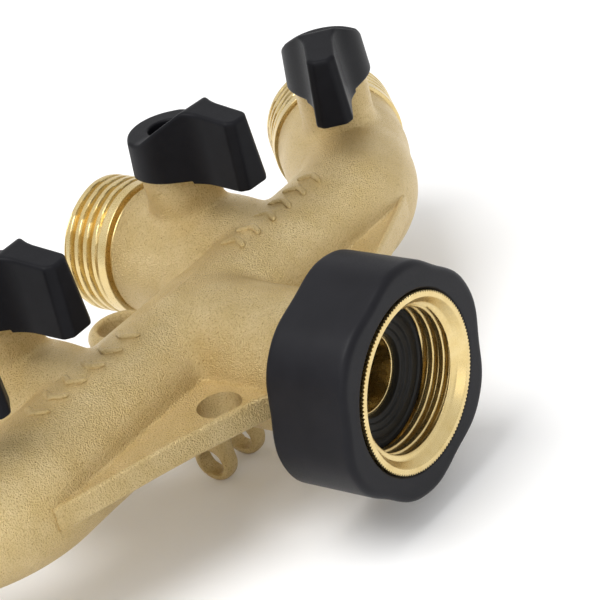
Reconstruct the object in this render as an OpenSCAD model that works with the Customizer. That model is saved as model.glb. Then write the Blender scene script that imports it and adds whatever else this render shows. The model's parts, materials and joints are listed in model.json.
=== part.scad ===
// Four-way garden hose splitter with four quarter-turn ball valves.
// The origin is the centre of the inlet mouth. +Y runs from the inlet to the outlets, X along the bar, +Z up.

/* [Body] */
// Outer radius of the manifold bar and of the elbows
bar_r = 11.7; // [11.2:0.1:12.4]
// Distance from the inlet mouth to the axis of the bar
bar_y = 48; // [46:0.5:52]
// Outer radius of the inlet pipe
inlet_r = 12.8; // [12.5:0.1:12.9]
// Outer radius of the outlet pipes
outlet_r = 12.7; // [12.5:0.1:12.9]
// Radius of the waterway in the bar
water_r = 8.6; // [7:0.1:9]

/* [Outlets] */
// Distance of each inner outlet from the middle of the bar
inner_x = 26.75; // [26:0.25:30]
// Distance of the inner stem axes from the inlet mouth
inner_y = 67.8; // [67:0.1:70]
// Where the outer stem axes stand, along X
outer_x = 64.3; // [63:0.1:66]
// Distance of the outer stem axes from the inlet mouth
outer_y = 58.3; // [57:0.1:59]
// Angle that each outer outlet is splayed outwards
splay = 45; // [40:1:48]
// Radius over the crests of the male hose thread
male_r = 13.45; // [13.45]
// Length of the male hose thread
male_len = 12.6; // [11:0.1:14]
// Distance from a stem axis to the start of its thread
male_start = 12.1; // [12:0.1:14]

/* [Valves] */
// Radius of the ball
ball_r = 8; // [7.5:0.1:8.2]
// Radius of the hole through the ball
port_r = 5; // [4:0.1:5.2]
// Outer radius of the stem boss
boss_r = 7.2; // [7:0.1:7.8]
// Height of the stem boss above the axis of the bar
boss_top = 20; // [19.5:0.25:20.5]
// Radius of the stem
stem_r = 4.4; // [4:0.1:4.5]

/* [Handles] */
// Radius of the handle's hub at its foot
hub_r = 8.3; // [8:0.1:8.5]
// Radius of the handle's hub at its top
hub_top_r = 7.8; // [7.4:0.1:8]
// Height of the top of the hub
hub_top = 27.8; // [27:0.1:29]
// Reach of the lever from the stem axis
lever_reach = 20.8; // [19:0.1:21]
// Height of the peak of the lever
lever_peak = 34; // [32:0.1:35]
// Half the width of the lever at its end
lever_half = 3.3; // [3:0.1:4]
// Half the width of the lever at its ridge
ridge_half = 4.1; // [3.8:0.1:4.5]

// How far the right inner lever stands from fully open
inner_rest = 6; // [0:1:8]
// How far the right outer lever stands from fully open
outer_rest = 7; // [0:1:8]

/* [Inlet coupling] */
// Outer radius of the brass nut
nut_r = 15.9; // [15.5:0.1:16.5]
// Length of the brass nut
nut_len = 15.5; // [15:0.1:16]
// Radius of the female hose thread at its roots
female_r = 13.6; // [13.6]
// Radius over the lobes of the grip
grip_r = 21.3; // [20:0.1:22]
// Depth of the dents between the lobes
dent_deep = 1.15; // [0.3:0.05:1.5]
// Number of lobes round the grip
lobes = 6; // [5:1:12]

/* [Eyelets] */
// Radius of the holes in the front webs and the rear eyelet
eye_r = 4; // [3.5:0.1:4.2]
// Thickness of the webs beside the inlet
web_t = 4.6; // [3:0.1:5]
// Thickness of the rear eyelet
rear_eye_t = 4; // [3:0.1:5]
// Radius of the hole through the two rings underneath
ring_hole_r = 2.6; // [2:0.1:3]

/* [Hidden] */
VALVES = [1, 2, 3, 4];
VALVE_PARTS = ["ball", "seat_inner", "seat_outer", "seat_retainer", "stem", "stem_o_rings", "handle",
               "handle_screw"];
$fn = 64;

// Colours
BRASS_CAST = [0.78, 0.69, 0.47];
BRASS_CUT = [0.84, 0.70, 0.36];
BLACK = [0.07, 0.07, 0.075];
RUBBER = [0.04, 0.04, 0.04];
WHITE = [0.93, 0.93, 0.90];
STEEL = [0.72, 0.73, 0.75];

// Clearance between faces that turn on each other, and between faces that only pass
run_gap = 0.05;
free_gap = 0.3;
bite = 0.5; // how far shapes that are joined run into each other
elbow_step = 0.15; // how far the elbows stand proud of the straight pipes
elbow_bite = 2; // how far the straight pipes run into the elbows
inlet_taper = 5.5; // length over which the inlet pipe, and an inner outlet, taper down to the bar
outlet_taper = 14;
sunk = 0.1; // how far the thin ends of the tapers lie below the bar's surface

// Elbows and outer outlets
bend_r = 21.2;
bend = 90 - splay; // angle each elbow turns through
bend_x = outer_x - (outer_y - bar_y) / tan(bend) - bend_r * tan(bend / 2);
bend_end = [bend_x + bend_r * sin(bend), bar_y + bend_r * (1 - cos(bend))];
pipe_run = norm([outer_x, outer_y] - bend_end);

// Stations along an outlet, from its stem axis
seat_far = ball_r + 0.5;
seat_near = 5.9;
chamber_r = 10;
mouth_s = male_start + male_len;
groove_len = 0.8;
retainer_len = 5;

// Stations along the inlet
pipe_front = 17.2;
nipple_end = 27;
nipple_r = 10;
nipple_bore = 6.3;
flange_r = 12.5;
flange_y = 10.4;
washer_r = 13;
female_len = 8;
shoulder_y = 12.4;
grip_front = 0.6;
grip_back = 16.7;
dent_turn = 9.4; // turn of the grip's first dent about the inlet
o_ring_y = 22;
o_ring_r = 0.58;
groove_w = 1.4; // width and depth of every O-ring's groove
groove_deep = 1.2;
washer_bore = 7.6;
washer_step_r = 9.6; // the washer's inner step, and how far it is set back
washer_step = 0.8;

// Stem and handle heights
stem_flange_r = 5.5;
stem_flange_z = 8.9;
stem_flange_h = 1.5;
tang = [2.4, 7];
drive_w = 5;
drive_top = 23;
hub_floor = 24;
recess_r = 3.5;
screw_head_r = 2.8;
ridge_u = 8.6; // how far the ridge stands from the stem axis
ramp_u = 3.8; // where the ramp up to the ridge starts
screw_r = 1.5;
screw_tip = 16;
screw_head_h = 1.2;
o_ring_z = [13, 17]; // lower edges of the stem's two grooves
stop_r = [5, 6.8]; // inner and outer radius, and height, of the lug that stops a handle
stop_h = 1.5;
stop_turn = 90; // where the lug stands from +X, half its angle, and its play in the handle's groove
stop_half = 13;
stop_play = 0.6;

// Where the holes of the webs, the rear eyelet and the rings are
web_hole = [18.5, 28.5];
rear_eye_y = 66.8;
rear_eye_z = -1; // middle of its thickness
rear_eye_r = 6.5;
ring_y = 47.5;
ring_z = -22.3;
ring_r = 4.2;
ring_t = 3.6;
ring_x = 4.35;

function valve_x(i) = [-outer_x, -inner_x, inner_x, outer_x][i - 1];
function valve_y(i) = [outer_y, inner_y, inner_y, outer_y][i - 1];
function valve_turn(i) = [splay, 0, 0, -splay][i - 1];
function rest_turn(i) = [0, 0, inner_rest, outer_rest][i - 1];

// Places its children at valve i: the stem axis at the origin, the outlet along +Y
module at_valve(i) translate([valve_x(i), valve_y(i), 0]) rotate([0, 0, valve_turn(i)]) children();

// The same, turned towards closed as far as valve i's lever stands at rest
module at_lever(i) at_valve(i) rotate([0, 0, -rest_turn(i)]) children();

// A cylinder along +Y that starts at y
module y_cylinder(r, y, len) translate([0, y, 0]) rotate([-90, 0, 0]) cylinder(r = r, h = len);

// A cone along +Y from y
module y_cone(r1, r2, y, len) translate([0, y, 0]) rotate([-90, 0, 0]) cylinder(r1 = r1, r2 = r2, h = len);

// A ring about the Y axis from y, with its bore
module y_ring(r, bore, y, len) {
    difference() {
        y_cylinder(r, y, len);
        y_cylinder(bore, y - 1, len + 2);
    }
}

// The straight stretch of the bar, or of its waterway
module straight_bar(r) {
    reach = bend_x + elbow_bite;
    translate([-reach, bar_y, 0]) rotate([0, 90, 0]) cylinder(r = r, h = 2 * reach);
}

// One elbow of tube radius r, on the +X side
module elbow(r) {
    translate([bend_x, bar_y + bend_r, 0]) rotate([0, 0, -90])
        rotate_extrude(angle = bend) translate([bend_r, 0]) circle(r = r);
}

// The outer form of one side of the casting's tubes
module side_tubes() {
    elbow(bar_r + elbow_step);
    at_valve(4) {
        y_cone(bar_r, outlet_r, -pipe_run - elbow_bite, pipe_run + elbow_bite);
        y_cylinder(outlet_r, -bite, bite + male_start);
        outlet_end();
    }
    at_valve(3) {
        y_cone(bar_r - sunk, outlet_r, bar_y - inner_y, outlet_taper);
        y_cylinder(outlet_r, bar_y - inner_y + outlet_taper - bite,
                   inner_y - bar_y - outlet_taper + bite + male_start);
        outlet_end();
    }
}

// Relief groove, thread envelope and stem boss of one outlet
module outlet_end() {
    y_cylinder(male_r - 1.3, male_start - bite, male_len);
    y_cylinder(male_r, male_start + groove_len, male_len - groove_len);
    cylinder(r = boss_r, h = boss_top);
}

// The lug on top of a boss that stops its handle, hidden in a groove under the hub
module stop_lug() {
    rotate([0, 0, stop_turn - stop_half]) rotate_extrude(angle = 2 * stop_half)
        translate([stop_r[0], boss_top - bite]) square([stop_r[1] - stop_r[0], stop_h + bite]);
}

// Chamber, mouth and stem bore of one outlet
module outlet_bores(back) {
    y_cylinder(chamber_r, -seat_far, seat_far + mouth_s + 1);
    y_cylinder(water_r - 0.2, -back, back);
    cylinder(r = stem_r + run_gap, h = boss_top + 1);
    cylinder(r = stem_flange_r + 0.2, h = stem_flange_z + stem_flange_h + 0.1);
}

// Flat web beside the inlet pipe, on the +X side
module web() {
    difference() {
        translate([0, 0, -web_t / 2]) linear_extrude(web_t)
            polygon([[8, 18.8], [14.3, 21.5], [23.4, 25.6], [27.9, 27.6], [33.5, 29.8], [39.4, 31.7],
                     [44.8, 33.7], [53.5, 37.2], [53.5, 42], [8, 42]]);
        translate([web_hole[0], web_hole[1], -web_t]) cylinder(r = eye_r, h = 2 * web_t);
    }
}

module rear_eyelet() {
    translate([0, 0, rear_eye_z - rear_eye_t / 2]) difference() {
        union() {
            translate([0, rear_eye_y, 0]) cylinder(r = rear_eye_r, h = rear_eye_t);
            translate([-rear_eye_r + 0.2, bar_y + 5, 0])
                cube([2 * rear_eye_r - 0.4, rear_eye_y - bar_y - 5, rear_eye_t]);
        }
        translate([0, rear_eye_y, -1]) cylinder(r = eye_r, h = rear_eye_t + 2);
    }
}

// The pair of rings under the bar, with one hole through both along X
module under_rings() {
    difference() {
        for (side = [-1, 1]) translate([side * ring_x, ring_y, 0]) {
            translate([-ring_t / 2, 0, ring_z]) rotate([0, 90, 0]) cylinder(r = ring_r, h = ring_t);
            translate([-ring_t / 2, -ring_r + 0.1, ring_z])
                cube([ring_t, 2 * ring_r - 0.2, -ring_z - bar_r + 2]);
        }
        translate([-10, ring_y, ring_z]) rotate([0, 90, 0]) cylinder(r = ring_hole_r, h = 20);
    }
}

module body() {
    color(BRASS_CAST) {
        difference() {
            union() {
                straight_bar(bar_r);
                y_cylinder(inlet_r, pipe_front, bar_y - inlet_taper + bite - pipe_front);
                y_cone(inlet_r, bar_r - sunk, bar_y - inlet_taper, inlet_taper);
                for (side = [0, 1]) mirror([side, 0, 0]) {
                    side_tubes();
                    web();
                }
                rear_eyelet();
                for (i = VALVES) at_valve(i) stop_lug();
            }
            straight_bar(water_r);
            y_cylinder(nipple_r, pipe_front - 1, nipple_end - pipe_front + 1);
            y_cylinder(water_r - 0.2, nipple_end - 1, bar_y - nipple_end + 1);
            for (side = [0, 1]) mirror([side, 0, 0]) {
                elbow(water_r + elbow_step);
                at_valve(4) outlet_bores(pipe_run + elbow_bite);
                at_valve(3) outlet_bores(inner_y - bar_y);
            }
        }
        under_rings();
    }
}

module inlet_nipple() {
    color(BRASS_CUT) difference() {
        union() {
            y_cylinder(flange_r, flange_y, shoulder_y - run_gap - flange_y);
            y_cylinder(nipple_r, flange_y + 1, nipple_end - flange_y - 1);
        }
        y_cylinder(nipple_bore, flange_y - 1, nipple_end);
        // hex socket for the driver that fits it
        translate([0, flange_y - 1, 0]) rotate([-90, 0, 0]) cylinder(r = nipple_bore + 1.1, h = 7, $fn = 6);
        y_ring(nipple_r + 1, nipple_r - groove_deep, o_ring_y - groove_w / 2, groove_w);
    }
}

module nipple_o_ring() {
    color(RUBBER) translate([0, o_ring_y, 0]) rotate([90, 0, 0])
        rotate_extrude() translate([nipple_r - 0.6, 0]) circle(r = o_ring_r, $fn = 24);
}

module swivel_nut() {
    color(BRASS_CUT) rotate([-90, 0, 0]) rotate_extrude()
        polygon([[nipple_r + run_gap, shoulder_y], [washer_r, shoulder_y], [washer_r, female_len],
                 [female_r, female_len], [female_r, 0], [nut_r - 0.3, 0], [nut_r, 0.3], [nut_r, nut_len],
                 [nipple_r + run_gap, nut_len]]);
}

// How far the grip's outline is set in at angle a
function dent(a) = dent_deep * pow(abs(cos(lobes * (a - dent_turn) / 2)), 3);

module swivel_grip() {
    color(BLACK) rotate([-90, 0, 0]) difference() {
        translate([0, 0, grip_front]) linear_extrude(grip_back - grip_front)
            polygon([for (a = [0:4:356]) (grip_r - dent(a)) * [cos(a), sin(a)]]);
        translate([0, 0, grip_front - 1]) cylinder(r = nut_r, h = nut_len - grip_front + 1);
        cylinder(r = nipple_r + 1, h = grip_back + 1);
    }
}

module inlet_washer() {
    color(RUBBER) rotate([-90, 0, 0]) rotate_extrude()
        polygon([[washer_bore, flange_y - run_gap], [washer_bore, female_len + washer_step],
                 [washer_step_r, female_len + washer_step], [washer_step_r, female_len],
                 [washer_r, female_len], [washer_r, flange_y - run_gap]]);
}

module ball(i) {
    color(STEEL) at_lever(i) difference() {
        sphere(r = ball_r);
        y_cylinder(port_r, -ball_r - 1, 2 * ball_r + 2);
        // slot for the stem's tang
        translate([-tang[0] / 2 - run_gap, -ball_r, 6]) cube([tang[0] + 2 * run_gap, 2 * ball_r, ball_r]);
    }
}

// A seat ring on the outlet side of the ball
module seat_ring() {
    color(WHITE) difference() {
        y_ring(chamber_r, port_r + 0.4, seat_near, seat_far - seat_near);
        sphere(r = ball_r + run_gap);
    }
}

module seat_outer(i) at_valve(i) seat_ring();
module seat_inner(i) at_valve(i) rotate([0, 0, 180]) seat_ring();

module seat_retainer(i) {
    color(BRASS_CUT) at_valve(i) difference() {
        y_ring(chamber_r, port_r + 1, seat_far, retainer_len);
        // slots for the driver that fits it
        translate([-chamber_r - 1, seat_far + retainer_len - 1.5, -1.5]) cube([2 * chamber_r + 2, 2, 3]);
    }
}

module stem(i) {
    color(BRASS_CUT) at_lever(i) difference() {
        union() {
            translate([-tang[0] / 2, -tang[1] / 2, 6.3]) cube([tang[0], tang[1], stem_flange_z - 6.3 + bite]);
            translate([0, 0, stem_flange_z]) cylinder(r = stem_flange_r, h = stem_flange_h);
            translate([0, 0, stem_flange_z + bite]) cylinder(r = stem_r, h = boss_top - stem_flange_z - bite);
            translate([-drive_w / 2, -drive_w / 2, boss_top - bite])
                cube([drive_w, drive_w, drive_top - boss_top + bite]);
        }
        for (z = o_ring_z) translate([0, 0, z]) difference() {
            cylinder(r = stem_r + 1, h = groove_w);
            translate([0, 0, -1]) cylinder(r = stem_r - groove_deep, h = groove_w + 2);
        }
        translate([0, 0, screw_tip - 1]) cylinder(r = screw_r, h = drive_top - screw_tip + 2);
    }
}

module stem_o_rings(i) {
    color(RUBBER) at_lever(i) for (z = o_ring_z) translate([0, 0, z + groove_w / 2])
        rotate_extrude() translate([stem_r - 0.6, 0]) circle(r = o_ring_r, $fn = 24);
}

// The lever, pointing to the inlet side: its side view cut to its plan
module lever() {
    intersection() {
        rotate([90, 0, -90]) translate([0, 0, -6]) linear_extrude(12)
            polygon([[2, boss_top + free_gap], [8.4, boss_top + free_gap], [9.4, 19.7], [lever_reach, 19.2],
                     [lever_reach - 0.4, lever_peak - 1.3], [ridge_u, lever_peak], [ramp_u, hub_top - bite],
                     [2, hub_top - bite]]);
        translate([0, 0, 18.5]) linear_extrude(lever_peak)
            polygon([[-ridge_half - 0.5, -1], [-ridge_half, -ridge_u], [-lever_half, -lever_reach - 1],
                     [lever_half, -lever_reach - 1], [ridge_half, -ridge_u], [ridge_half + 0.5, -1]]);
    }
}

// The groove under the hub that lets the lug pass through a quarter turn
module stop_groove() {
    half = stop_half + stop_play;
    rotate([0, 0, stop_turn - half]) rotate_extrude(angle = 90 + 2 * half)
        translate([stop_r[0] - free_gap, boss_top - 1])
            square([stop_r[1] - stop_r[0] + 2 * free_gap, stop_h + free_gap + 1]);
}

module handle(i) {
    color(BLACK) at_lever(i) difference() {
        union() {
            translate([0, 0, boss_top + free_gap])
                cylinder(r1 = hub_r, r2 = hub_top_r, h = hub_top - boss_top - free_gap);
            lever();
        }
        stop_groove();
        translate([-drive_w / 2 - run_gap, -drive_w / 2 - run_gap, boss_top])
            cube([drive_w + 2 * run_gap, drive_w + 2 * run_gap, drive_top - boss_top + 0.1]);
        cylinder(r = screw_r + 0.1, h = hub_top + 1);
        translate([0, 0, hub_floor]) cylinder(r = recess_r, h = lever_peak);
    }
}

module handle_screw(i) {
    color(STEEL) at_lever(i) difference() {
        union() {
            translate([0, 0, screw_tip]) cylinder(r = screw_r, h = hub_floor - screw_tip + bite);
            translate([0, 0, hub_floor]) cylinder(r = screw_head_r, h = screw_head_h);
        }
        for (turn = [0, 90]) rotate([0, 0, turn]) translate([-1.6, -0.35, hub_floor + screw_head_h / 2])
            cube([3.2, 0.7, screw_head_h]);
    }
}

body();
inlet_nipple();
nipple_o_ring();
swivel_nut();
swivel_grip();
inlet_washer();
for (i = VALVES) {
    ball(i);
    seat_inner(i);
    seat_outer(i);
    seat_retainer(i);
    stem(i);
    stem_o_rings(i);
    handle(i);
    handle_screw(i);
}
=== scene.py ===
import itertools
import json
import math

import bmesh
import bpy
import numpy as np
from mathutils import Matrix, Vector


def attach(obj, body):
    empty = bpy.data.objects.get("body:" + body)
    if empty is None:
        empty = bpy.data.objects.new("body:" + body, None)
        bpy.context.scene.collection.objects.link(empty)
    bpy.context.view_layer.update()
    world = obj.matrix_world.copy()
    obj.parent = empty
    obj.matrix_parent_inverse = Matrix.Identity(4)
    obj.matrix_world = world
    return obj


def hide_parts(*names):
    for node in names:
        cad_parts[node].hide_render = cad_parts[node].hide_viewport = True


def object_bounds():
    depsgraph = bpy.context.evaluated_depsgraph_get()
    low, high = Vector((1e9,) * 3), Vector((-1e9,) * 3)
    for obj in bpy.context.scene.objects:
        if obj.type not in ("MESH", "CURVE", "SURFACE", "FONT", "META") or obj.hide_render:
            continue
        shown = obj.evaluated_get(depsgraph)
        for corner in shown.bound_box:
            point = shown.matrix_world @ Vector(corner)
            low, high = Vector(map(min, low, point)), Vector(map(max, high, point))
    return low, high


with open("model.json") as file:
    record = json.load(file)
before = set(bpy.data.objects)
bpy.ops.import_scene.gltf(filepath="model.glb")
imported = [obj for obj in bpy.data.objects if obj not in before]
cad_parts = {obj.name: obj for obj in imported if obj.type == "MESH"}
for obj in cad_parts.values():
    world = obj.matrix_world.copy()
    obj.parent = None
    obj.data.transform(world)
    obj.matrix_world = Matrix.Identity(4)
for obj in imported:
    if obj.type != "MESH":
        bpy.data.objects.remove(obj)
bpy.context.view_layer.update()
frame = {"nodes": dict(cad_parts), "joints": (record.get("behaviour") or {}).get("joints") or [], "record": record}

MM = 0.001
TURN = 2 * math.pi

# ---------------------------------------------------------------- places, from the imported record
RECORD = frame["record"]
MOUNTS = {m["name"]: m for m in RECORD["mounts"]}
JOINTS = {j["name"]: j for j in frame["joints"]}
VALVES = (1, 2, 3, 4)
STEMS = {i: np.array(JOINTS[f"valve_{i}_turn"]["pos_m"]) / MM for i in VALVES}
FLOWS = {i: np.array(MOUNTS[f"outlet_thread_{i}"]["axis"], float) for i in VALVES}
RESTS = {i: -math.radians(JOINTS[f"valve_{i}_turn"]["range_deg"][0]) for i in VALVES}
MALE_R = MOUNTS["outlet_thread_1"]["dims"]["r_mm"]
FEMALE_R = MOUNTS["inlet_thread"]["dims"]["r_mm"]
RING_Y, RING_Z = (v / MM for v in MOUNTS["under_rings"]["pos_m"][1:])
RING_HOLE_R = MOUNTS["under_rings"]["dims"]["r_mm"]
REAR_EYE_Y, REAR_EYE_Z = (v / MM for v in MOUNTS["rear_eyelet"]["pos_m"][1:])
EYE_R = MOUNTS["rear_eyelet"]["dims"]["r_mm"]
WEB_HOLE = (MOUNTS["web_holes"]["dims"]["spacing_x_mm"] / 2, MOUNTS["web_holes"]["pos_m"][1] / MM)

# ---------------------------------------------------------------- sizes shared by several pieces
BAR_R, INLET_R, OUTLET_R, BOSS_R = 11.7, 12.8, 12.7, 7.2
BAR_Y = 48.0
BEND_R = 21.2  # of the outer elbows' axes
BOSS_TOP = 20.0
WEB_T = 4.6
CHAMBER_R = 10.0
SEAT_FAR, RETAINER_LEN = 8.5, 5.0  # along an outlet from its stem axis
PITCH = 25.4 / 11.5
GROOVE_LEN = 0.8
THREAD_LEN = MOUNTS["outlet_thread_3"]["dims"]["length_mm"]
THREAD_CENTRE = float(np.linalg.norm(np.array(MOUNTS["outlet_thread_3"]["pos_m"]) / MM - STEMS[3]))
MOUTH_S = THREAD_CENTRE + THREAD_LEN / 2  # outlet's mouth, from the stem axis
MALE_START = MOUTH_S - THREAD_LEN - GROOVE_LEN  # machined end of an outlet, where the cast skin stops
PIPE_FRONT = 17.2
HUB_FOOT = 20.3
LUG_R, LUG_H = (5.0, 6.8), 1.5
LUG_TURN, LUG_HALF, LUG_PLAY = math.radians(90), math.radians(13), math.radians(0.6)
NUT_R, NUT_LEN, SHOULDER_Y, NUT_BORE = 15.9, 15.5, 12.4, 10.05
FLANGE_Y, NIPPLE_R, NIPPLE_END = 10.4, 10.0, 27.0
WASHER_FRONT, WASHER_R = 8.0, 12.95

# ---------------------------------------------------------------- camera
VIEW_AZ, VIEW_EL, VIEW_ROLL = -47.37, 28.66, -14.51
VIEW_DISTANCE, VIEW_TARGET = 394.0, (-6.43, 15.54, 17.96)
SENSOR_WIDTH, LENS = 36.0, 142.0122


def add_camera():
    """Camera at the photo's angle, level first and then rolled about its own axis."""
    az, el, roll = (math.radians(a) for a in (VIEW_AZ, VIEW_EL, VIEW_ROLL))
    back = Vector((math.sin(az) * math.cos(el), -math.cos(az) * math.cos(el), math.sin(el)))
    right = Vector((math.cos(az), math.sin(az), 0))
    up = back.cross(right)
    side = right * math.cos(roll) + up * math.sin(roll)
    top = up * math.cos(roll) - right * math.sin(roll)
    data = bpy.data.cameras.new("camera")
    data.sensor_width, data.lens = SENSOR_WIDTH, LENS
    data.clip_start, data.clip_end = 0.01, 20
    camera = bpy.data.objects.new("camera", data)
    bpy.context.collection.objects.link(camera)
    facing = Matrix((side, top, back)).transposed().to_4x4()
    place = (Vector(VIEW_TARGET) + back * VIEW_DISTANCE) * MM
    camera.matrix_world = Matrix.Translation(place) @ facing
    bpy.context.scene.camera = camera


# ---------------------------------------------------------------- meshes
def mesh_of(name, points, quads):
    """A mesh in metres from points in millimetres and the four corners of each face, facing outwards."""
    points = np.asarray(points, float).reshape(-1, 3) * MM
    quads = np.asarray(quads, np.int32).reshape(-1, 4)
    a, b, c, d = (points[quads[:, k]] for k in range(4))
    volume = np.einsum("ij,ij->", a, np.cross(b, c)) + np.einsum("ij,ij->", a, np.cross(c, d))
    if volume < 0:
        quads = quads[:, ::-1]
    mesh = bpy.data.meshes.new(name)
    mesh.vertices.add(len(points))
    mesh.vertices.foreach_set("co", points.ravel())
    mesh.loops.add(quads.size)
    mesh.loops.foreach_set("vertex_index", quads.ravel())
    mesh.polygons.add(len(quads))
    mesh.polygons.foreach_set("loop_start", np.arange(0, quads.size, 4, dtype=np.int32))
    mesh.update(calc_edges=True)
    mesh.validate()
    return mesh


def smooth(mesh, sharp=32.0):
    """Smooth shading, with an edge left sharp where its faces meet at more than this angle."""
    mesh.polygons.foreach_set("use_smooth", [True] * len(mesh.polygons))
    mesh.set_sharp_from_angle(angle=math.radians(sharp))
    mesh.update()


def add_piece(name, mesh, material, body, stands_for=(), place=None):
    """Links a mesh as a piece that rides on a body, takes a slot and stands for CAD nodes."""
    piece = bpy.data.objects.new(name, mesh)
    bpy.context.collection.objects.link(piece)
    mesh.materials.clear()
    mesh.materials.append(material)
    if place is not None:
        piece.matrix_world = place
    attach(piece, body)
    if stands_for:
        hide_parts(*stands_for)
    return piece


def at_valve(i, turn=0.0):
    """The place of valve i: stem axis at the origin, outlet along +Y, turned clockwise from above by turn."""
    yaw = math.atan2(-FLOWS[i][0], FLOWS[i][1]) - turn
    return Matrix.Translation(Vector(STEMS[i] * MM)) @ Matrix.Rotation(yaw, 4, "Z")


def wrapped(rows, columns):
    """Faces of a grid of rows by columns that closes on itself both ways."""
    i, j = np.meshgrid(np.arange(rows), np.arange(columns), indexing="ij")
    i2, j2 = (i + 1) % rows, (j + 1) % columns
    return np.stack([i * columns + j, i2 * columns + j, i2 * columns + j2, i * columns + j2], -1)


def turned(name, outline, radius=None, columns=160):
    """A ring about the Y axis. outline holds the (y, r) points of its closed section, and radius(y, r, angle)
    reshapes them round the ring; angle is right-handed about +Y from +Z."""
    outline = np.asarray(outline, float)
    angle = np.linspace(0, TURN, columns, endpoint=False)[None, :]
    y, r = np.broadcast_arrays(outline[:, :1], angle)[0], outline[:, 1:] + 0 * angle
    if radius is not None:
        y, r = radius(y, r, angle)
    points = np.stack([r * np.sin(angle), y, r * np.cos(angle)], -1)
    return mesh_of(name, points, wrapped(len(outline), columns))


def rounded(corners, step=None):
    """Points of a closed outline from corners (y, r, corner's radius), with no stretch longer than step."""
    points = []
    count = len(corners)
    for k, (y, r, radius) in enumerate(corners):
        here = np.array([y, r])
        before = np.array(corners[k - 1][:2]) - here
        after = np.array(corners[(k + 1) % count][:2]) - here
        if radius <= 0:
            points.append(here)
            continue
        lb, la = np.linalg.norm(before), np.linalg.norm(after)
        ub, ua = before / lb, after / la
        half = math.acos(np.clip(ub @ ua, -1, 1)) / 2
        reach = min(radius / math.tan(half), 0.49 * lb, 0.49 * la)
        radius = reach * math.tan(half)
        centre = here + (ub + ua) / np.linalg.norm(ub + ua) * radius / math.sin(half)
        start, end = here + ub * reach - centre, here + ua * reach - centre
        swing = math.acos(np.clip(start @ end / radius**2, -1, 1))
        steps = max(3, int(math.degrees(swing) / 15))
        for t in np.linspace(0, 1, steps + 1):
            ray = math.sin((1 - t) * swing) * start + math.sin(t * swing) * end
            points.append(centre + ray / math.sin(swing))
    if step is None:
        return np.array(points)
    dense = []
    for k, here in enumerate(points):
        gap = points[(k + 1) % len(points)] - here
        parts = max(1, math.ceil(np.linalg.norm(gap) / step))
        dense += [here + gap * t / parts for t in range(parts)]
    return np.array(dense)


# ---------------------------------------------------------------- solids from distance fields
def ramp(value, start, end):
    """Smooth rise from 0 at start to 1 at end."""
    t = np.clip((value - start) / (end - start), 0, 1)
    return t * t * (3 - 2 * t)


def union(a, b, fillet):
    """Smooth union of two distances, with a fillet about that wide."""
    h = np.clip(0.5 + 0.5 * (b - a) / fillet, 0, 1)
    return b + (a - b) * h - fillet * h * (1 - h)


def common(a, b, edge):
    """What two solids have in common, with a rounded edge about that wide."""
    return -union(-a, -b, edge)


def overlap(*distances):
    """What solids have in common, with sharp edges."""
    return np.maximum.reduce(np.broadcast_arrays(*distances))


def cell_corner(grid, offset):
    """The value of a grid at one corner of each of its cells."""
    return grid[tuple(slice(o, o + n - 1) for o, n in zip(offset, grid.shape))]


def cell_points(f, cells):
    """For each cell the mean of the places where f crosses 0 on its edges, counted in cells."""
    place = np.zeros((len(cells), 3))
    weight = np.zeros(len(cells))
    for axis, a, b in itertools.product(range(3), (0, 1), (0, 1)):
        one, two = np.insert([a, b], axis, 0), np.insert([a, b], axis, 1)
        f1, f2 = f[tuple((cells + one).T)], f[tuple((cells + two).T)]
        cut = (f1 < 0) != (f2 < 0)
        t = np.where(cut, f1 / np.where(cut, f1 - f2, 1), 0)
        spot = one + (two - one) * t[:, None]
        place += np.where(cut[:, None], spot, 0)
        weight += cut
    return cells + place / weight[:, None]


def cell_faces(inside, index, axis):
    """A face across each grid edge along axis that crosses the surface, from the four cells round it."""
    count = inside.shape[axis]
    first, second = (np.take(inside, np.arange(a, count - 1 + a), axis) for a in (0, 1))
    edges = np.argwhere(first != second)
    u, v = [k for k in range(3) if k != axis]
    room = [(edges[:, k] > 0) & (edges[:, k] < inside.shape[k] - 1) for k in (u, v)]
    edges = edges[room[0] & room[1]]
    quad = []
    for du, dv in ((1, 1), (0, 1), (0, 0), (1, 0)):
        cell = edges.copy()
        cell[:, u] -= du
        cell[:, v] -= dv
        quad.append(index[tuple(cell.T)])
    quad = np.stack(quad, 1)
    flip = first[tuple(edges.T)] == (axis == 1)
    quad[flip] = quad[flip][:, ::-1]
    return quad


def onto_surface(field, points, reach, rounds=3, eps=0.02, least_slope=0.2):
    """Moves the points onto the surface by Newton's steps, none longer than reach."""
    for _ in range(rounds):
        value = field(*points.T)
        rises = [field(*(points + d).T) - field(*(points - d).T) for d in np.eye(3) * eps]
        slope = np.stack(rises, 1) / (2 * eps)
        move = value / np.maximum((slope**2).sum(1), least_slope)
        points -= np.clip(move, -reach, reach)[:, None] * slope
    return points


def net(field, low, high, step, mirrored=False):
    """Points and faces of the surface where field(x, y, z) is 0, one point in each grid cell it crosses."""
    axes = [np.arange(a, b + step, step) for a, b in zip(low, high)]
    f = field(*np.meshgrid(*axes, indexing="ij"))
    if mirrored:  # low x is 0: the other half is its mirror image
        f = np.concatenate([f[:0:-1], f])
        low = (-axes[0][-1], low[1], low[2])
    inside = f < 0
    total = sum(cell_corner(inside, o).astype(np.int8) for o in itertools.product((0, 1), repeat=3))
    cells = np.argwhere((total > 0) & (total < 8))
    index = -np.ones([n - 1 for n in f.shape], np.int64)
    index[tuple(cells.T)] = np.arange(len(cells))
    points = cell_points(f, cells) * step + np.array(low)
    faces = np.concatenate([cell_faces(inside, index, axis) for axis in range(3)])
    return onto_surface(field, points, step), faces


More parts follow.
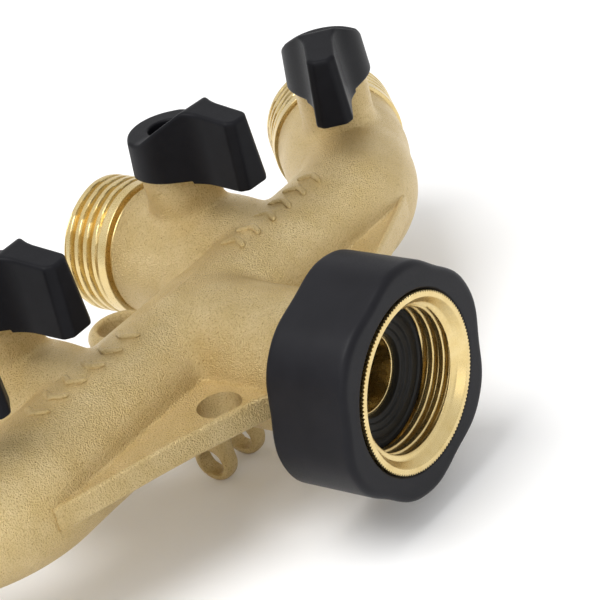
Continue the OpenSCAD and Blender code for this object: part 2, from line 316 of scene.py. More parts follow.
def plan_path(x, y):
    """Distance in plan from the axis of the bar, its elbow and the outer outlet, on the +X side."""
    ox, oy = STEMS[4][:2]
    fx, fy = FLOWS[4][:2]
    bend = math.atan2(fy, fx)
    cx = ox - (oy - BAR_Y) / math.tan(bend) - BEND_R * math.tan(bend / 2)
    cy = BAR_Y + BEND_R
    swing = np.arctan2(x - cx, cy - y)
    arc = np.abs(np.hypot(x - cx, y - cy) - BEND_R)
    straight = np.abs(y - BAR_Y)
    outlet = np.abs((x - ox) * fy - (y - oy) * fx)
    return np.where(swing < 0, straight, np.where(swing > bend, outlet, arc))


def along_outlet(i, x, y):
    """How far a point is along outlet i from its stem axis, and how far to its side."""
    dx, dy = x - STEMS[i][0], y - STEMS[i][1]
    fx, fy = FLOWS[i][:2]
    return dx * fx + dy * fy, dx * fy - dy * fx


# ---------------------------------------------------------------- the casting
PAST_CUT = 1.5  # how far the cast skin runs past each machined face
OUTLET_FILLET, INLET_FILLET, BOSS_FILLET, WEB_FILLET, EYE_FILLET, RING_FILLET = 1.2, 2.2, 1.5, 0.6, 1.2, 1.6
OUTER_TAPER, INNER_TAPER = (-5, 5), (-18, -5)  # where the bar widens to an outlet, from the stem axis
INLET_TAPER = 6.0  # length over which the inlet pipe narrows to the bar
ELBOW_SWELL, SWELL_X = 0.15, (36, 48)
WEB_EDGE = [(8, 18.8), (14.3, 21.5), (19, 23.6), (23.4, 25.6), (27.9, 27.6), (33.5, 29.8), (39.4, 31.7),
            (44.8, 33.7), (53.5, 37.1)]
WEB_CURVE = np.polyfit(*np.array(WEB_EDGE).T, 4)  # the outer edge of the web as y over x
WEB_X = (WEB_EDGE[0][0], WEB_EDGE[-1][0])
WEB_INSET, WEB_SLANT = 0.7, 0.92  # from the rim's outside to the flat's edge; y distance to square distance
RIM_X, RIM_WIDTH, RIM_TOP, RIM_FOOT = (9, 53), 1.4, 2.7, -2.1
REAR_EYE_OUT, REAR_EYE_T, REAR_TAIL = 6.5, 4.0, 6.1
REAR_EYE_EDGE, REAR_HOLE_EDGE = 2.4, 1.2  # how wide the cast edges are rounded
RING_OUT, RING_T, RING_X, RING_LEG = 4.2, 3.6, 4.35, 4.0
RING_EDGE, RING_HOLE_EDGE = 1.5, 0.6
WATER_R, SIDE_WATER_R, STEM_BORE_R = 8.6, 8.4, 4.45
CHAMBER_END = MALE_START + 3
COLLAR_R, COLLAR_TOP = 5.7, 10.5
SKIN_STEP, BORES_STEP = 0.6, 1.1
CUTTER_R, BOSS_CUTTER_R, CUTTER_LEN = 17, 12, 5


def webs_distance(x, y, z):
    """Flat of the web beside the inlet, up to the rim along its outer edge."""
    edge = (np.polyval(WEB_CURVE, np.clip(x, *WEB_X)) + WEB_INSET - y) * WEB_SLANT
    return overlap(edge, x - WEB_X[1], y - BAR_Y, np.abs(z) - WEB_T / 2)


def rear_eye_distance(x, y, z):
    """Eyelet behind the bar, with its tail that runs into the bar."""
    ring = np.hypot(x, y - REAR_EYE_Y)
    tail = overlap(x - REAR_TAIL, y - REAR_EYE_Y, BAR_Y - y)
    plan = np.minimum(ring - REAR_EYE_OUT, tail)
    solid = common(plan, np.abs(z - REAR_EYE_Z) - REAR_EYE_T / 2, REAR_EYE_EDGE)
    return common(solid, EYE_R - ring, REAR_HOLE_EDGE)


def under_rings_distance(x, y, z):
    """Ring under the bar, with its leg that runs up into the bar."""
    ring = np.hypot(y - RING_Y, z - RING_Z)
    leg = overlap(np.abs(y - RING_Y) - RING_LEG, RING_Z - z, z)
    plan = np.minimum(ring - RING_OUT, leg)
    solid = common(plan, np.abs(x - RING_X) - RING_T / 2, RING_EDGE)
    return common(solid, RING_HOLE_R - ring, RING_HOLE_EDGE)


def pipes_distance(x, y, z, outlets):
    """The bar with its elbows, the inner outlet and the inlet pipe."""
    (s3, side3), (s4, _) = outlets
    flare = (OUTLET_R - BAR_R) * ramp(s4, *OUTER_TAPER) + ELBOW_SWELL * ramp(x, *SWELL_X)
    skin = overlap(np.hypot(plan_path(x, y), z) - BAR_R - flare, s4 - MALE_START - PAST_CUT)
    inner = np.hypot(side3, z) - BAR_R - (OUTLET_R - BAR_R) * ramp(s3, *INNER_TAPER)
    skin = union(skin, overlap(inner, BAR_Y - y, s3 - MALE_START - PAST_CUT), OUTLET_FILLET)
    inlet = np.hypot(x, z) - INLET_R + (INLET_R - BAR_R) * ramp(y, BAR_Y - INLET_TAPER, BAR_Y)
    return union(skin, overlap(inlet, y - BAR_Y, PIPE_FRONT - PAST_CUT - y), INLET_FILLET)


def casting_distance(x, y, z):
    """The cast skin of the whole body, before its machined faces and bores are cut."""
    x = np.abs(x)
    outlets = [along_outlet(i, x, y) for i in (3, 4)]
    skin = pipes_distance(x, y, z, outlets)
    for s, side in outlets:
        boss = overlap(np.hypot(s, side) - BOSS_R, z - BOSS_TOP - PAST_CUT, -z)
        skin = union(skin, boss, BOSS_FILLET)
    skin = union(skin, webs_distance(x, y, z), WEB_FILLET)
    skin = union(skin, rear_eye_distance(x, y, z), EYE_FILLET)
    return union(skin, under_rings_distance(x, y, z), RING_FILLET)


def bores_distance(x, y, z):
    """Waterway, chambers and stem bores of the body."""
    x = np.abs(x)
    outlets = [along_outlet(i, x, y) for i in (3, 4)]
    (s3, side3), (s4, _) = outlets
    inlet = np.where(y < NIPPLE_END, NIPPLE_R, SIDE_WATER_R)
    bores = [overlap(np.hypot(plan_path(x, y), z) - WATER_R, s4),
             overlap(np.hypot(side3, z) - SIDE_WATER_R, s3, BAR_Y - y),
             overlap(np.hypot(x, z) - inlet, y - BAR_Y, PIPE_FRONT - 3 - y)]
    for s, side in outlets:
        middle, half = (CHAMBER_END - SEAT_FAR) / 2, (CHAMBER_END + SEAT_FAR) / 2
        bores += [overlap(np.abs(s - middle) - half, np.hypot(side, z) - CHAMBER_R),
                  overlap(np.hypot(s, side) - STEM_BORE_R, z - BOSS_TOP - 3, -z),
                  overlap(np.hypot(s, side) - COLLAR_R, z - COLLAR_TOP, -z)]
    return np.minimum.reduce(bores)


def add_cylinder(bm, start, end, radius, segments=96):
    """Adds a closed cylinder from start to end, in millimetres, to a bmesh of cutters."""
    start, end = Vector(start) * MM, Vector(end) * MM
    axis = end - start
    place = Matrix.Translation((start + end) / 2) @ axis.to_track_quat("Z", "Y").to_matrix().to_4x4()
    bmesh.ops.create_cone(bm, cap_ends=True, segments=segments, radius1=radius * MM, radius2=radius * MM,
                          depth=axis.length, matrix=place)


def machined_cutters():
    """One mesh that cuts the flat ends of the outlets, the inlet and the bosses, and the webs' holes."""
    bm = bmesh.new()
    for i in VALVES:
        flow, stem, up = Vector(FLOWS[i]), Vector(STEMS[i]), Vector((0, 0, 1))
        add_cylinder(bm, stem + flow * MALE_START, stem + flow * (MALE_START + 6), CUTTER_R)
        add_cylinder(bm, stem + up * BOSS_TOP, stem + up * (BOSS_TOP + CUTTER_LEN), BOSS_CUTTER_R)
    add_cylinder(bm, (0, PIPE_FRONT, 0), (0, PIPE_FRONT - CUTTER_LEN, 0), CUTTER_R)
    for side in (-1, 1):
        x, y = side * WEB_HOLE[0], WEB_HOLE[1]
        add_cylinder(bm, (x, y, -WEB_T), (x, y, WEB_T), EYE_R)
    mesh = bpy.data.meshes.new("cutters")
    bm.to_mesh(mesh)
    bm.free()
    return mesh


def cut_away(mesh, tool):
    """The mesh with the tool's solid cut away."""
    objects = [bpy.data.objects.new(n, m) for n, m in (("blank", mesh), ("tool", tool))]
    for o in objects:
        bpy.context.collection.objects.link(o)
    cut = objects[0].modifiers.new("cut", "BOOLEAN")
    cut.operation, cut.solver, cut.object = "DIFFERENCE", "MANIFOLD", objects[1]
    graph = bpy.context.evaluated_depsgraph_get()
    graph.update()
    made = bpy.data.meshes.new_from_object(objects[0].evaluated_get(graph))
    for o in objects:
        bpy.data.objects.remove(o)
    return made


def casting_mesh():
    """The cast skin with its machined faces cut flat and its bores cut out."""
    reach_x = STEMS[4][0] + MALE_START * FLOWS[4][0] + BAR_R + 2
    reach_y = STEMS[3][1] + MALE_START + 3
    low, high = (0, PIPE_FRONT - 3, RING_Z - RING_OUT - 1), (reach_x, reach_y, BOSS_TOP + 3)
    skin = mesh_of("casting", *net(casting_distance, low, high, SKIN_STEP, mirrored=True))
    low, high = (0, PIPE_FRONT - 5, -12), (reach_x + 3, reach_y + 2, BOSS_TOP + 5)
    bores = mesh_of("bores", *net(bores_distance, low, high, BORES_STEP, mirrored=True))
    skin = cut_away(cut_away(skin, machined_cutters()), bores)
    skin.name = "casting"
    smooth(skin)
    return skin


def swept(centres, across, upward, section):
    """Points and faces of a bar with closed ends, its section (a, b) along across and upward at each centre."""
    rows, columns = len(centres), section.shape[-2]
    section = np.broadcast_to(section, (rows, columns, 2))
    points = centres[:, None] + section[..., :1] * across[:, None] + section[..., 1:] * upward[:, None]
    quads = wrapped(rows, columns)[:-1].reshape(-1, 4)
    k = np.arange(columns // 2 - 1)
    cap = np.stack([k, k + 1, columns - 2 - k, columns - 1 - k], 1)
    return points.reshape(-1, 3), np.concatenate([quads, cap[:, ::-1], cap + (rows - 1) * columns])


def with_mirror(points, quads):
    """The same solid and its mirror image in x = 0."""
    return (np.concatenate([points, points * (-1, 1, 1)]),
            np.concatenate([quads, quads[:, ::-1] + len(points)]))


def web_rims_mesh():
    """Rounded rims along the outer edges of both webs."""
    x = np.linspace(*RIM_X, 130)
    y, slope = np.polyval(WEB_CURVE, x), np.polyval(np.polyder(WEB_CURVE), x)
    inwards = np.stack([-slope, np.ones_like(x), 0 * x], 1) / np.hypot(1, slope)[:, None]
    upward = np.tile([0.0, 0.0, 1.0], (len(x), 1))
    section = rounded([(0, RIM_FOOT, 0.7), (RIM_WIDTH, RIM_FOOT, 0.7), (RIM_WIDTH, RIM_TOP, 0.8),
                       (0, RIM_TOP, 0.8)])
    centres = np.stack([x, y, 0 * x], 1)
    mesh = mesh_of("web_rims", *with_mirror(*swept(centres, inwards, upward, section)))
    smooth(mesh, 50)
    return mesh


CHEVRON_X, CHEVRON_STEP, CHEVRONS = 15.5, 4.9, 6
CHEVRON_TURN = math.radians(88)  # round the bar, from +Y towards +Z
CHEVRON_HALF, CHEVRON_POINT, CHEVRON_W, CHEVRON_H = 2.7, 1.6, 0.8, 0.5
CHEVRON_RAISE = 0.12  # of a chevron's centre line over the bar


def chevrons_mesh():
    """Raised chevrons along the top of the bar, pointing from the inlet to the outer valves."""
    along = np.linspace(-1, 1, 33)
    turn = CHEVRON_TURN + along * CHEVRON_HALF / BAR_R
    outward = np.stack([0 * turn, np.cos(turn), np.sin(turn)], 1)
    shrink = np.sqrt(np.clip(1 - np.abs(along) ** 8, 0.04, 1))[:, None, None]  # towards both ends
    a = np.linspace(0, TURN, 16, endpoint=False) + 0.1
    section = np.stack([CHEVRON_W * np.cos(a), CHEVRON_H * np.sin(a)], 1) * shrink
    sideways = np.tile([1.0, 0.0, 0.0], (len(along), 1))
    solids = []
    for k in range(CHEVRONS):
        x = CHEVRON_X + CHEVRON_STEP * k + CHEVRON_POINT * (1 - np.sqrt(along**2 + 0.01))
        centres = np.stack([x, 0 * x + BAR_Y, 0 * x], 1) + outward * (BAR_R + CHEVRON_RAISE)
        solids.append(with_mirror(*swept(centres, sideways, outward, section)))
    count = len(solids[0][0])
    points = np.concatenate([p for p, _ in solids])
    quads = np.concatenate([q + k * count for k, (_, q) in enumerate(solids)])
    mesh = mesh_of("flow_chevrons", points, quads)
    smooth(mesh, 60)
    return mesh


def sector_distance(x, y, middle, half, near, far):
    """Signed distance in plan from a sector of a ring about the stem axis."""
    r = np.hypot(x, y)
    off = np.abs((np.arctan2(y, x) - middle + math.pi) % TURN - math.pi)
    return np.maximum(np.maximum(near - r, r - far), (off - half) * r)


LUG_SUNK = 0.4  # foot of the lug inside the boss


def stop_lug_mesh():
    """The lug on top of a boss, in the groove under the handle, that stops the handle at both ends."""
    def field(x, y, z):
        plan = sector_distance(x, y, LUG_TURN, LUG_HALF, *LUG_R)
        return common(plan, np.maximum(BOSS_TOP - LUG_SUNK - z, z - BOSS_TOP - LUG_H), 0.25)

    points, faces = net(field, (-3, 4, BOSS_TOP - 1), (3, 8, BOSS_TOP + LUG_H + 1), 0.15)
    mesh = mesh_of("stop_lug", points, faces)
    smooth(mesh, 40)
    return mesh


# ---------------------------------------------------------------- threads
FLANK = (0.08, 0.6)  # start and end of a flank, from the root's middle at 0 to the crest's middle at 1
MALE_ROOT = MALE_R - 1.35
LAND_END = MALE_START + 3.4
THREAD_START = (LAND_END - 0.5, LAND_END + 0.3)


def thread(along, angle):
    """Height of a right-hand thread at a place on it, from 0 at its root to 1 at its crest."""
    turn = along / PITCH - angle / TURN
    return ramp(1 - np.abs(2 * (turn - np.floor(turn)) - 1), *FLANK)


def outlet_thread_mesh():
    """Machined end of an outlet: relief groove, land and right-hand thread, with the mouth's chamfers."""
    start, mouth = MALE_START, MOUTH_S
    outline = rounded([
        (start - 0.4, CHAMBER_R - 0.03, 0), (start - 0.4, MALE_ROOT, 0), (start + 0.75, MALE_ROOT, 0.25),
        (start + 0.95, MALE_R, 0.15), (mouth - 0.9, MALE_R, 0.3), (mouth, MALE_ROOT + 0.2, 0.15),
        (mouth, CHAMBER_R + 0.5, 0.1), (mouth - 0.6, CHAMBER_R, 0.1)], step=0.16)

    def radius(y, r, angle):
        depth = (r - MALE_ROOT) * (r > MALE_ROOT) * ramp(y, *THREAD_START)
        return y, r - depth * (1 - thread(y, angle))

    mesh = turned("outlet_thread", outline, radius, 168)
    smooth(mesh, 50)
    return mesh


# ---------------------------------------------------------------- the swivel and its nipple
NUT_FRONT, NUT_MOUTH_R = 1.3, 13.8  # front of the nut behind its lip
FEMALE_DEPTH, FEMALE_RISE = 1.1, (1.4, 2.1)  # the thread rises to its full depth over this stretch
RELIEF_R = 13.0  # behind the female thread
KNURL_TEETH, KNURL_DEEP, KNURL_FOOT = 144, 0.34, 15.4
LIP_R, LIP_LEN, LIP_BACK_R, LIP_FRONT_R = 15.88, 1.35, 13.75, 14.75
GRIP_R, GRIP_FRONT, GRIP_BACK = 21.3, 0.35, 16.7
GRIP_BORE, GRIP_MOUTH, GRIP_REAR = NUT_R + 0.05, 16.4, 11.2
LOBES, DENT_DEEP, DENT_TURN = 6, 1.15, math.radians(39.4)
DENT_FADE = (17.4, 20.4)  # the dents between the lobes fade in over the front and back faces
FLANGE_R, NIPPLE_BORE = 12.5, 6.3
SOCKET_END, GROOVE_Y, GROOVE_HALF, GROOVE_DEEP = 16.5, 22.0, 0.7, 1.2


def nut_mesh():
    """The brass nut, with the right-hand female thread in its mouth."""
    outside = NUT_R - 0.1
    outline = rounded([
        (NUT_FRONT, outside, 0.1), (NUT_LEN, outside, 0.1), (NUT_LEN, NUT_BORE, 0), (SHOULDER_Y, NUT_BORE, 0),
        (SHOULDER_Y, RELIEF_R, 0), (WASHER_FRONT, RELIEF_R, 0), (WASHER_FRONT, FEMALE_R, 0),
        (1.45, FEMALE_R + 0.1, 0), (NUT_FRONT, NUT_MOUTH_R, 0)], step=0.14)

    def radius(y, r, angle):
        bore = (r < FEMALE_R + 0.7) & (y < WASHER_FRONT) & (r > FEMALE_R - 0.3)
        height = FEMALE_DEPTH * ramp(y, *FEMALE_RISE)
        return y, np.where(bore, r - height * thread(y, angle), r)

    mesh = turned("swivel_nut", outline, radius, 200)
    smooth(mesh, 75)
    return mesh


def nut_lip_mesh():
    """Knurled lip of the nut, which stands in front of the grip."""
    outline = rounded([(0.0, LIP_FRONT_R, 0.15), (0.0, LIP_R, 0.15), (LIP_LEN, LIP_R, 0),
                       (LIP_LEN, LIP_BACK_R, 0)], step=0.3)

    def radius(y, r, angle):
        tooth = np.abs(((angle * KNURL_TEETH / TURN) % 1) * 2 - 1)
        return y, r - KNURL_DEEP * ramp(r, KNURL_FOOT, LIP_R) * np.clip(1.5 * tooth - 0.25, 0, 1)

    mesh = turned("nut_lip", outline, radius, KNURL_TEETH * 6)
    smooth(mesh, 40)
    return mesh


def grip_mesh():
    """Black moulded grip with shallow lobes."""
    outline = rounded([
        (NUT_LEN - 1, GRIP_BORE, 0), (0.8, GRIP_BORE, 0.1), (GRIP_FRONT, GRIP_MOUTH, 0.2),
        (GRIP_FRONT, GRIP_R, 1.3), (GRIP_BACK, GRIP_R, 1.1), (GRIP_BACK, GRIP_REAR, 0.3),
        (NUT_LEN, GRIP_REAR - 0.2, 0), (NUT_LEN, GRIP_BORE, 0)], step=0.7)

    def radius(y, r, angle):
        dent = np.abs(np.cos(LOBES * (angle - DENT_TURN) / 2)) ** 3
        return y, r - DENT_DEEP * ramp(r, *DENT_FADE) * dent

    mesh = turned("swivel_grip", outline, radius, 288)
    smooth(mesh, 40)
    return mesh


def washer_mesh():
    """Stepped rubber washer at the back of the nut's mouth."""
    back, front = FLANGE_Y - 0.02, WASHER_FRONT
    steps = [
        (1.0, 7.4, 0.25), (1.0, 8.3, 0.1), (0.55, 8.5, 0.15), (0.55, 9.5, 0.1), (0.1, 9.7, 0.15),
        (0.1, 11.0, 0.15), (0.35, 11.2, 0.1), (0.35, 11.8, 0.1), (0.02, 12.0, 0.15), (0.02, WASHER_R, 0.2)]
    outline = rounded([(back, steps[0][1], 0), *[(front + y, r, corner) for y, r, corner in steps],
                       (back, WASHER_R, 0)], step=1.5)
    mesh = turned("inlet_washer", outline, columns=160)
    smooth(mesh, 40)
    return mesh


def nipple_mesh():
    """Flanged nipple that holds the nut, with a hex socket in its bore."""
    outside, groove_r = NIPPLE_R - 0.02, NIPPLE_R - GROOVE_DEEP
    outline = rounded([
        (FLANGE_Y, NIPPLE_BORE + 0.5, 0.2), (FLANGE_Y, FLANGE_R, 0.3), (SHOULDER_Y - 0.05, FLANGE_R, 0.2),
        (SHOULDER_Y - 0.05, outside, 0), (GROOVE_Y - GROOVE_HALF, outside, 0.05),
        (GROOVE_Y - GROOVE_HALF, groove_r, 0.1), (GROOVE_Y + GROOVE_HALF, groove_r, 0.1),
        (GROOVE_Y + GROOVE_HALF, outside, 0.05), (NIPPLE_END, outside, 0.5), (NIPPLE_END, NIPPLE_BORE, 0.3),
        (SOCKET_END + 0.6, NIPPLE_BORE, 0.1), (SOCKET_END, NIPPLE_BORE - 0.01, 0)], step=0.9)

    def radius(y, r, angle):
        sector = (angle + math.pi / 6) % (math.pi / 3) - math.pi / 6
        hexagon = (NIPPLE_BORE + 0.15) / np.cos(sector)
        socket = (r < NIPPLE_BORE + 0.52) & (y < SOCKET_END - 0.3)
        return y, np.where(socket, np.maximum(r, hexagon), r)

    mesh = turned("inlet_nipple", outline, radius, 180)
    smooth(mesh, 30)
    return mesh


SLOT_DEEP, SLOT_HALF = 1.6, 1.5  # the two driver slots of a retainer
RETAINER_BORE = 6.0


def retainer_mesh():
    """Threaded ring that holds the seats, with two driver slots."""
    front, outside = SEAT_FAR + RETAINER_LEN, CHAMBER_R - 0.02
    outline = rounded([
        (SEAT_FAR, RETAINER_BORE, 0.2), (SEAT_FAR, outside, 0), (front - 0.5, outside, 0.1),
        (front, CHAMBER_R - 0.5, 0.1), (front, RETAINER_BORE + 0.6, 0.1),
        (front - 0.6, RETAINER_BORE, 0.1)], step=0.35)

    def radius(y, r, angle):
        off = np.abs((angle + math.pi / 2) % math.pi - math.pi / 2)
        slot = (off < SLOT_HALF / np.maximum(r, 1)) & (y > front - SLOT_DEEP)
        return np.where(slot, front - SLOT_DEEP, y), r

    mesh = turned("seat_retainer", outline, radius, 180)
    smooth(mesh, 30)
    return mesh


# ---------------------------------------------------------------- handles
HUB_R, HUB_TOP_R, HUB_TOP = 8.3, 7.8, 27.8
NECK_FILLET = 6.0  # between the hub and the lever, in plan
LEVER_REACH, LEVER_PEAK, RIDGE_U, END_FALL = 20.8, 34.0, 8.8, 1.3
LEVER_HALF, SIDE_DRAFT, SIDE_TAPER = 3.75, 0.065, 0.02
LEVER_FOOT, END_DRAFT, END_CHAMFER = 19.7, 0.045, 1.3
LEVER_UNDER_U, LEVER_UNDER_Z, UNDER_SLOPE = 8.9, 19.75, 0.045
RAMP_FOOT = -0.6  # where the lever's back starts to rise out of the hub's top
RECESS_R, RECESS_FLOOR, RECESS_BACK = 3.4, 24.0, 0.5
DRIVE_HALF, DRIVE_TOP, SCREW_HOLE_R = 2.55, 23.1, 1.6
GROOVE_PLAY = 0.3


def lever_plan(u, v, z):
    """The lever in plan, with draft on its sides and end and chamfers at its end."""
    half = LEVER_HALF - SIDE_DRAFT * (z - 20) - SIDE_TAPER * (u - RIDGE_U)
    reach = LEVER_REACH + 0.35 - END_DRAFT * (z - LEVER_FOOT)
    chamfer = (v - half + u - reach + END_CHAMFER) * math.sqrt(0.5)
    return np.maximum(common(common(v - half, u - reach, 0.3), chamfer, 0.3), -u)


def handle_top(u, z):
    """Top of the hub with the lever's back, which rises to a ridge and falls to its end."""
    slope = math.atan2(LEVER_PEAK - HUB_TOP, RIDGE_U - RAMP_FOOT)
    rising = (z - HUB_TOP) * math.cos(slope) - (u - RAMP_FOOT) * math.sin(slope)
    falling = (z - LEVER_PEAK) + (u - RIDGE_U) * END_FALL / (LEVER_REACH - RIDGE_U)
    return union(z - HUB_TOP, common(rising, falling, 0.5), 0.8)


def handle_hollows(x, y, z, u, v):
    """The stop's groove, the stem's square drive and the screw's hole."""
    turn, half = LUG_TURN + math.pi / 4, math.pi / 4 + LUG_HALF + LUG_PLAY
    groove = sector_distance(x, y, turn, half, LUG_R[0] - GROOVE_PLAY, LUG_R[1] + GROOVE_PLAY)
    groove = np.maximum(groove, z - HUB_FOOT - LUG_H)
    drive = overlap(np.abs(u) - DRIVE_HALF, v - DRIVE_HALF, z - DRIVE_TOP)
    return np.minimum(np.minimum(groove, drive), np.hypot(u, v) - SCREW_HOLE_R)


def handle_distance(x, y, z):
    """A handle about its stem axis, its lever along -Y."""
    u, v = -y, np.abs(x)
    hub = np.hypot(u, v) - (HUB_R + (HUB_TOP_R - HUB_R) * (z - HUB_FOOT) / (HUB_TOP - HUB_FOOT))
    plan = union(hub, lever_plan(u, v, z), NECK_FILLET)
    under = np.where(u > LEVER_UNDER_U, LEVER_UNDER_Z - UNDER_SLOPE * (u - LEVER_UNDER_U) - z, HUB_FOOT - z)
    solid = common(common(plan, handle_top(u, z), 0.7), under, 0.5)
    recess = np.maximum(np.hypot(u + RECESS_BACK, v) - RECESS_R, RECESS_FLOOR - z)
    return np.maximum(common(solid, -recess, 0.4), -handle_hollows(x, y, z, u, v))


def handle_mesh():
    mesh = mesh_of("handle", *net(handle_distance, (-10.5, -23, 17.5), (10.5, 10, 35.5), 0.3))
    smooth(mesh, 35)
    return mesh


# ---------------------------------------------------------------- materials
def new_material(name):
    material = bpy.data.materials.new(name)
    material.use_nodes = True
    tree = material.node_tree
    return material, tree, tree.nodes["Principled BSDF"]


def noise(tree, scale, detail=3.0, rough=0.55):
    """Noise over the piece's own coordinates, scale in cycles a metre."""
    coordinates = tree.nodes.new("ShaderNodeTexCoord").outputs["Object"]
    node = tree.nodes.new("ShaderNodeTexNoise")
    node.inputs["Scale"].default_value = scale
    node.inputs["Detail"].default_value = detail
    node.inputs["Roughness"].default_value = rough
    tree.links.new(coordinates, node.inputs["Vector"])
    return node.outputs["Fac"]


def ranged(tree, value, low, high, to_low, to_high):
    """The value taken from one range to another, and kept inside it."""
    node = tree.nodes.new("ShaderNodeMapRange")
    for key, number in zip(("From Min", "From Max", "To Min", "To Max"), (low, high, to_low, to_high)):
        node.inputs[key].default_value = number
    tree.links.new(value, node.inputs["Value"])
    return node.outputs["Result"]


def mixed(tree, factor, one, two):
    """Colour between one and two, each a constant or a socket."""
    node = tree.nodes.new("ShaderNodeMix")
    node.data_type = "RGBA"
    for key, value in (("A", one), ("B", two)):
        socket = next(s for s in node.inputs if s.name == key and s.type == "RGBA")
        if isinstance(value, tuple):
            socket.default_value = (*value, 1)
        else:
            tree.links.new(value, socket)
    tree.links.new(factor, node.inputs["Factor"])
    return next(s for s in node.outputs if s.type == "RGBA")


def bumped(tree, height, strength, distance):
    node = tree.nodes.new("ShaderNodeBump")
    node.inputs["Strength"].default_value = strength
    node.inputs["Distance"].default_value = distance
    tree.links.new(height, node.inputs["Height"])
    return node.outputs["Normal"]


def surface(name, colours, patch, grain, roughness, bump, metallic=0.0, specular=0.5, speck=None):
    """A material that wanders between two colours, with a fine grain in its bump, roughness and specks.
    patch and grain are in cycles a metre, and bump is the grain's strength and its depth in metres."""
    material, tree, shader = new_material(name)
    patches = noise(tree, patch)
    fine = noise(tree, grain, rough=0.6)
    colour = mixed(tree, ranged(tree, patches, 0.3, 0.7, 0, 1), *colours)
    if speck is not None:
        colour = mixed(tree, ranged(tree, fine, 0.52, 0.36, 0, 0.55), colour, speck)
    tree.links.new(colour, shader.inputs["Base Color"])
    tree.links.new(ranged(tree, fine, 0.2, 0.8, *roughness), shader.inputs["Roughness"])
    shader.inputs["Metallic"].default_value = metallic
    shader.inputs["Specular IOR Level"].default_value = specular
    tree.links.new(bumped(tree, fine, *bump), shader.inputs["Normal"])
    return material


def cast_brass():
    return surface("cast_brass", ((0.67, 0.53, 0.285), (0.585, 0.44, 0.205)), patch=160, grain=3400,
                   roughness=(0.24, 0.42), bump=(1.0, 0.00046), metallic=1.0, speck=(0.40, 0.275, 0.10))


def machined_brass():
    return surface("machined_brass", ((0.74, 0.59, 0.30), (0.66, 0.50, 0.22)), patch=300, grain=5200,
                   roughness=(0.22, 0.36), bump=(0.2, 0.00004), metallic=1.0)


def black_plastic():
    return surface("black_plastic", ((0.0085, 0.0085, 0.0105), (0.006, 0.006, 0.0075)), patch=220, grain=3000,
                   roughness=(0.36, 0.48), bump=(0.12, 0.00005), specular=0.09)


def black_grip():
    return surface("black_grip", ((0.0098, 0.0096, 0.0122), (0.007, 0.0069, 0.009)), patch=160, grain=3600,
                   roughness=(0.38, 0.52), bump=(0.15, 0.00005), specular=0.15)


def rubber():
    return surface("rubber", ((0.012, 0.012, 0.012), (0.008, 0.008, 0.008)), patch=400, grain=4000,
                   roughness=(0.45, 0.65), bump=(0.15, 0.00004), specular=0.3)


def ptfe():
    return surface("ptfe", ((0.86, 0.86, 0.83), (0.80, 0.80, 0.76)), patch=300, grain=2500,
                   roughness=(0.35, 0.5), bump=(0.08, 0.00004))


def steel():
    return surface("steel", ((0.60, 0.61, 0.63), (0.50, 0.51, 0.53)), patch=400, grain=5000,
                   roughness=(0.22, 0.36), bump=(0.1, 0.00003), metallic=1.0)


def black_steel():
    return surface("black_steel", ((0.05, 0.05, 0.055), (0.03, 0.03, 0.034)), patch=500, grain=5000,
                   roughness=(0.35, 0.5), bump=(0.1, 0.00003), metallic=1.0)


# ---------------------------------------------------------------- stage, in metres
FLOOR_HALF, FLOOR_GREY = 4.0, 0.93
SKY_STRENGTH = 0.85
LIGHTS_AIM, LIGHT_SIZE = (0, 0.04, 0), 0.6
LIGHTS = {"key": ((-0.32, 0.12, 0.75), 5), "fill": ((-0.7, -0.5, 0.35), 0.9)}  # place and power in watts


def area_light(name, place, power):
    data = bpy.data.lights.new(name, "AREA")
    data.shape, data.size, data.energy = "DISK", LIGHT_SIZE, power
    light = bpy.data.objects.new(name, data)
    bpy.context.collection.objects.link(light)
    light.location = place
    light.rotation_euler = (Vector(LIGHTS_AIM) - Vector(place)).to_track_quat("-Z", "Y").to_euler()


def add_floor():
    """A plain pale floor that touches the lowest point of the object."""
    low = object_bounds()[0][2]
    bm = bmesh.new()
    bmesh.ops.create_grid(bm, x_segments=8, y_segments=8, size=FLOOR_HALF)
    mesh = bpy.data.meshes.new("floor")
    bm.to_mesh(mesh)
    bm.free()
    floor = bpy.data.objects.new("floor", mesh)
    floor.location.z = low
    bpy.context.collection.objects.link(floor)
    material, _, shader = new_material("floor")
    shader.inputs["Base Color"].default_value = (FLOOR_GREY, FLOOR_GREY, FLOOR_GREY, 1)
    shader.inputs["Roughness"].default_value = 0.9
    mesh.materials.append(material)


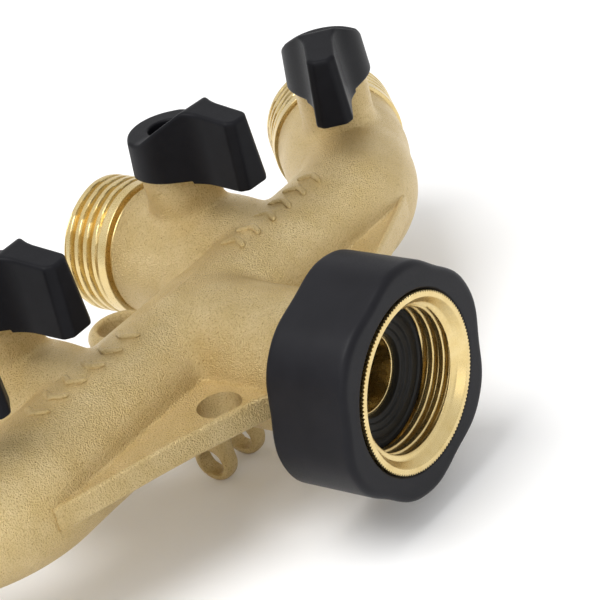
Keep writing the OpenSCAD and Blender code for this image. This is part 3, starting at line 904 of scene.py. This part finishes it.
def add_stage():
    add_floor()
    world = bpy.data.worlds.new("studio")
    world.use_nodes = True
    sky = world.node_tree.nodes["Background"]
    sky.inputs["Color"].default_value = (1, 1, 1, 1)
    sky.inputs["Strength"].default_value = SKY_STRENGTH
    bpy.context.scene.world = world
    for name, (place, power) in LIGHTS.items():
        area_light(name, place, power)
    bpy.context.scene.view_settings.view_transform = "Standard"


# ---------------------------------------------------------------- the object
def add_casting(brass):
    add_piece("casting", casting_mesh(), brass, "casting", ["body"])
    add_piece("web_rims", web_rims_mesh(), brass, "casting")
    add_piece("flow_chevrons", chevrons_mesh(), brass, "casting")


def add_valves(brass, cut_brass, plastic):
    """What is the same at every outlet, each mesh shared by the four."""
    threads, retainer, handle, lug = outlet_thread_mesh(), retainer_mesh(), handle_mesh(), stop_lug_mesh()
    for i in VALVES:
        place = at_valve(i)
        add_piece(f"outlet_thread_{i}", threads, cut_brass, "casting", place=place)
        add_piece(f"retainer_{i}", retainer, cut_brass, "casting", [f"seat_retainer_{i}"],
                  place)
        add_piece(f"stop_lug_{i}", lug, brass, "casting", place=place)
        add_piece(f"lever_{i}", handle, plastic, f"valve_{i}", [f"handle_{i}"],
                  at_valve(i, RESTS[i]))


def add_swivel(cut_brass, grip, black):
    add_piece("nut", nut_mesh(), cut_brass, "swivel", ["swivel_nut"])
    add_piece("nut_lip", nut_lip_mesh(), cut_brass, "swivel")
    add_piece("grip", grip_mesh(), grip, "swivel", ["swivel_grip"])
    add_piece("washer", washer_mesh(), black, "swivel", ["inlet_washer"])
    add_piece("nipple", nipple_mesh(), cut_brass, "casting", ["inlet_nipple"])


def finish_carried_over(finishes):
    """Materials for the CAD nodes that show as they are; a node's kind is its name without its number."""
    for name, node in frame["nodes"].items():
        finish = finishes.get(name.rstrip("_1234"))
        if finish is not None:
            node.data.materials.clear()
            node.data.materials.append(finish)
            smooth(node.data, 30)


def build():
    brass, cut_brass, plastic = cast_brass(), machined_brass(), black_plastic()
    grip, black, metal, screws, white = black_grip(), rubber(), steel(), black_steel(), ptfe()
    add_casting(brass)
    add_valves(brass, cut_brass, plastic)
    add_swivel(cut_brass, grip, black)
    finish_carried_over({"ball": metal, "handle_screw": screws, "stem": cut_brass, "stem_o_rings": black,
                         "nipple_o_ring": black, "seat_inner": white, "seat_outer": white})


add_camera()
build()
add_stage()
